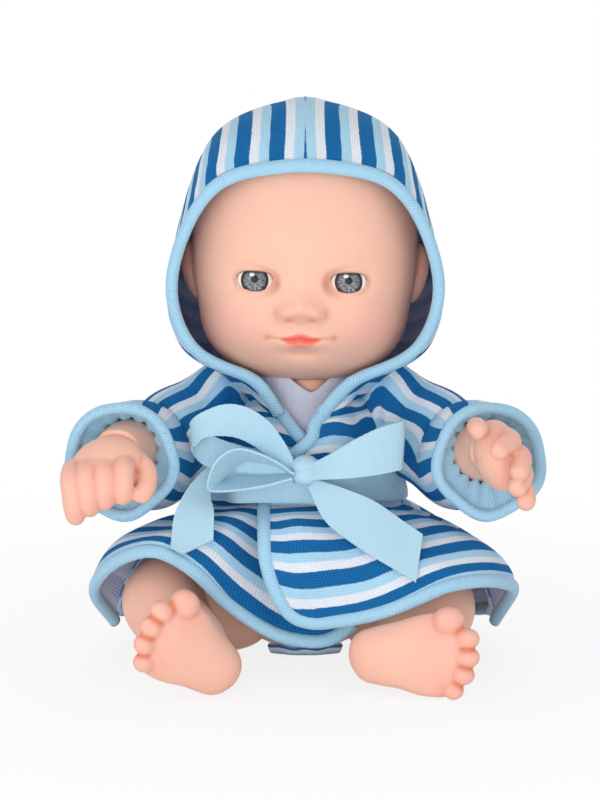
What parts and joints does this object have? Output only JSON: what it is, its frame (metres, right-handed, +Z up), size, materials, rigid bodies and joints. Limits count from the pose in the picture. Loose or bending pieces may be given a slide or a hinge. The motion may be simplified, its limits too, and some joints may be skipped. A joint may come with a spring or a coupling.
{
  "type": "interactive baby doll",
  "caption": "Seated vinyl baby doll in a hooded striped bath robe with a ribbon bow; head, arms and legs turn, and a tummy button works a small sound module.",
  "frame": {"origin": "centre of the flat seat of the torso, on the surface that the doll sits on", "axes": "+Z up through the head, -Y the way the doll faces, +X to the doll's left"},
  "size_m": [0.128, 0.1078, 0.1517],
  "materials": {
    "vinyl_skin": "soft satin vinyl",
    "striped_towelling": "knitted towelling in dark blue, light blue and white stripes",
    "blue_binding": "rolled twill tape",
    "ribbon": "twill ribbon",
    "steel": "bright steel",
    "eye_white": "polished",
    "eye_iris": "polished",
    "black_plastic": "moulded",
    "board": "lacquered board",
    "wire_cover": "extruded cover",
    "contact": "stamped strip"
  },
  "bodies": {
    "torso": {"torso_front_shell": "vinyl_skin", "torso_back_shell": "vinyl_skin", "battery_cover": "vinyl_skin", "robe_back": "striped_towelling", "robe_front_left": "striped_towelling", "robe_front_right": "striped_towelling", "robe_tail": "striped_towelling", "front_binding_left": "blue_binding", "front_binding_right": "blue_binding", "hem_binding_back": "blue_binding", "belt": "ribbon", "bow_knot": "ribbon", "bow_loops": "ribbon", "bow_tails": "ribbon", "torso_screws": "steel", "button_spring": "steel", "battery_cover_screw": "steel", "button_cells": "steel", "tact_switch": "black_plastic", "speaker": "black_plastic", "circuit_board": "board", "lead_wires": "wire_cover", "battery_contacts": "contact"},
    "head": {"head_shell": "vinyl_skin", "eye_left": "eye_white", "eye_right": "eye_white", "iris_left": "eye_iris", "iris_right": "eye_iris", "hood_left": "striped_towelling", "hood_right": "striped_towelling", "hood_binding": "blue_binding"},
    "arm_left": {"arm_left": "vinyl_skin", "sleeve_left": "striped_towelling", "cuff_binding_left": "blue_binding"},
    "arm_right": {"arm_right": "vinyl_skin", "sleeve_right": "striped_towelling", "cuff_binding_right": "blue_binding"},
    "leg_left": {"leg_left": "vinyl_skin"},
    "leg_right": {"leg_right": "vinyl_skin"},
    "button": {"tummy_button": "vinyl_skin"}
  },
  "joints": [
    {"name": "head_turn", "type": "hinge", "parent": "torso", "child": "head", "pos_m": [0, 0.0016, 0.071], "axis": [0, 0, 1], "range_deg": [-60, 60], "deforming": ["hood_left", "hood_right", "hood_binding"]},
    {"name": "shoulder_left", "type": "hinge", "parent": "torso", "child": "arm_left", "pos_m": [0.01846, 0.001, 0.06049], "axis": [0.9478, -0.1008, 0.3025], "range_deg": [-45, 25], "deforming": ["sleeve_left", "robe_front_left", "front_binding_left"]},
    {"name": "shoulder_right", "type": "hinge", "parent": "torso", "child": "arm_right", "pos_m": [-0.01846, 0.001, 0.06049], "axis": [-0.9478, -0.1008, 0.3025], "range_deg": [-25, 45], "deforming": ["sleeve_right", "robe_front_right", "front_binding_right"]},
    {"name": "hip_left", "type": "hinge", "parent": "torso", "child": "leg_left", "pos_m": [0.01683, -0.0068, 0.01675], "axis": [0.7484, -0.469, -0.469], "range_deg": [-12, 50], "deforming": ["robe_front_left", "front_binding_left", "bow_tails"]},
    {"name": "hip_right", "type": "hinge", "parent": "torso", "child": "leg_right", "pos_m": [-0.01683, -0.0068, 0.01675], "axis": [-0.7484, -0.469, -0.469], "range_deg": [-50, 12], "deforming": ["robe_front_right", "front_binding_right", "bow_tails"]},
    {"name": "button_press", "type": "slide", "parent": "torso", "child": "button", "axis": [0, 1, 0], "range_m": [0, 0.0015], "stiffness_N_per_m": 180, "springref_m": -0.002, "deforming": ["button_spring"]}
  ]
}
